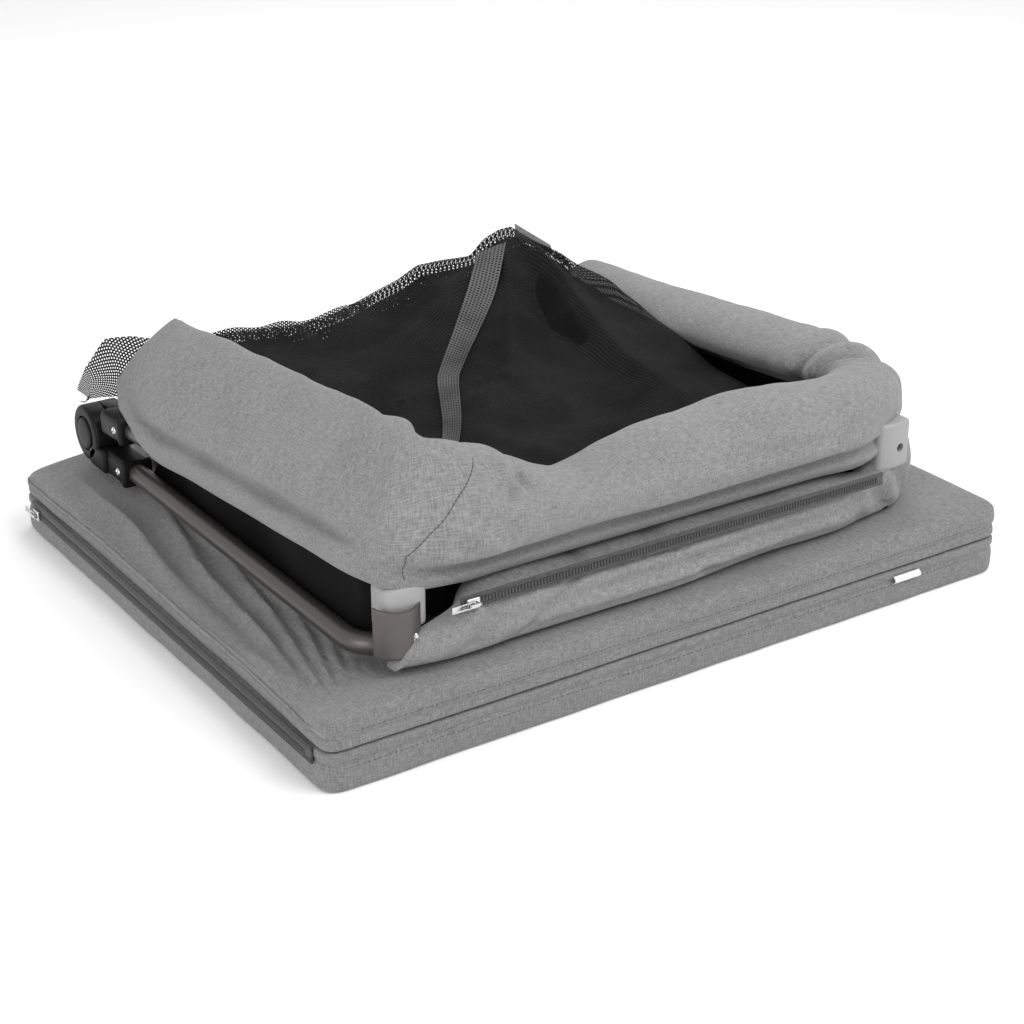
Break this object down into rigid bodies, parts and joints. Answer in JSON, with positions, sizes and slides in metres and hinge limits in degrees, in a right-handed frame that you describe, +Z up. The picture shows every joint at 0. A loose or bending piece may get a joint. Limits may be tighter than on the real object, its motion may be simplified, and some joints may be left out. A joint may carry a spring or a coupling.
{
  "type": "folding playpen",
  "caption": "Folding playpen, folded flat: hinged rail ring with padded collar and mesh basket, lying on its folded padded mattress.",
  "frame": {"origin": "middle of the underside of the folded mattress", "axes": "+X along the folded mattress's width, to the right seen from the front; +Y to the back, where the mattress folds and the rails hinge; +Z up"},
  "size_m": [0.608, 0.5063, 0.2258],
  "materials": {
    "heather": "heather grey woven polyester, matt",
    "heather_dark": "darker heather grey woven polyester, matt",
    "foam": "open-cell foam",
    "tape": "woven zip tape, dark grey",
    "label": "white woven label, blank",
    "rail": "taupe grey satin powder coat",
    "plate": "dark taupe satin",
    "pale": "light grey matt plastic",
    "black": "black moulded plastic, satin",
    "net": "black knitted mesh",
    "steel": "bright plated steel"
  },
  "bodies": {
    "mattress_top": {"mattress_top_cover": "heather_dark", "mattress_top_foam": "foam"},
    "mattress_bottom": {"mattress_bottom_cover": "heather_dark", "mattress_bottom_foam": "foam", "mattress_zip_tape": "tape", "care_label": "label"},
    "mattress_zip_slider_body": {"mattress_zip_slider": "steel"},
    "mattress_zip_pull_body": {"mattress_zip_pull": "steel"},
    "lower_frame": {"lower_left_rail": "rail", "lower_right_rail": "rail", "lower_front_rail": "rail", "lower_left_corner_block": "black", "lower_right_corner_block": "black", "lower_left_corner_plate": "plate", "lower_right_corner_plate": "plate", "left_corner_latch": "pale", "right_corner_latch": "pale", "lower_left_corner_screw_1": "steel", "lower_left_corner_screw_2": "steel", "lower_right_corner_screw_1": "steel", "lower_right_corner_screw_2": "steel", "right_leg_bracket": "pale", "lower_left_joint_shell": "black", "lower_right_joint_shell": "black", "left_pivot_pin": "steel", "right_pivot_pin": "steel", "left_button_spring": "steel", "right_button_spring": "steel", "lower_left_joint_screw": "steel", "lower_right_joint_screw": "steel", "lower_front_band": "heather", "front_zip_tape": "tape", "base_cloth": "net", "net_lower": "net"},
    "front_zip_slider_body": {"front_zip_slider": "steel"},
    "front_zip_pull_body": {"front_zip_pull": "steel"},
    "upper_frame": {"upper_left_rail": "rail", "upper_right_rail": "rail", "upper_front_rail": "rail", "upper_left_corner_plug": "steel", "upper_right_corner_plug": "steel", "upper_left_joint_shell": "black", "upper_right_joint_shell": "black", "upper_left_joint_screw": "steel", "upper_right_joint_screw": "steel", "collar_left": "heather", "collar_right": "heather", "collar_front": "heather", "net_upper": "net"},
    "left_button": {"left_release_button": "black"},
    "right_button": {"right_release_button": "black"}
  },
  "joints": [
    {"name": "mattress_fold", "type": "hinge", "parent": "mattress_top", "child": "mattress_bottom", "pos_m": [0, 0.2525, 0.0295], "axis": [1, 0, 0], "range_deg": [0, 180]},
    {"name": "mattress_zip_slide", "type": "slide", "parent": "mattress_bottom", "child": "mattress_zip_slider_body", "axis": [0, -1, 0], "range_m": [0, 0.42]},
    {"name": "mattress_zip_tab", "type": "hinge", "parent": "mattress_zip_slider_body", "child": "mattress_zip_pull_body", "pos_m": [-0.306, 0.2155, 0.0225], "axis": [0, 0, 1], "range_deg": [0, 170]},
    {"name": "frame_lift", "type": "slide", "parent": "mattress_top", "child": "lower_frame", "axis": [0, 0, 1], "range_m": [0, 0.25]},
    {"name": "rail_fold", "type": "hinge", "parent": "lower_frame", "child": "upper_frame", "pos_m": [0, 0.2075, 0.086], "axis": [-1, 0, 0], "range_deg": [0, 175.2]},
    {"name": "front_zip_slide", "type": "slide", "parent": "lower_frame", "child": "front_zip_slider_body", "axis": [1, 0, 0], "range_m": [0, 0.32]},
    {"name": "front_zip_tab", "type": "hinge", "parent": "front_zip_slider_body", "child": "front_zip_pull_body", "pos_m": [-0.178, -0.239, 0.099], "axis": [0, 0, 1], "range_deg": [0, 170]},
    {"name": "left_button_press", "type": "slide", "parent": "lower_frame", "child": "left_button", "axis": [1, 0, 0], "range_m": [0, 0.0025], "stiffness_N_per_m": 400},
    {"name": "right_button_press", "type": "slide", "parent": "lower_frame", "child": "right_button", "axis": [-1, 0, 0], "range_m": [0, 0.0025], "stiffness_N_per_m": 400}
  ],
  "couplings": [
    {"joint": "frame_lift", "follows": "rail_fold", "m_per_rad": 0.07953}
  ]
}
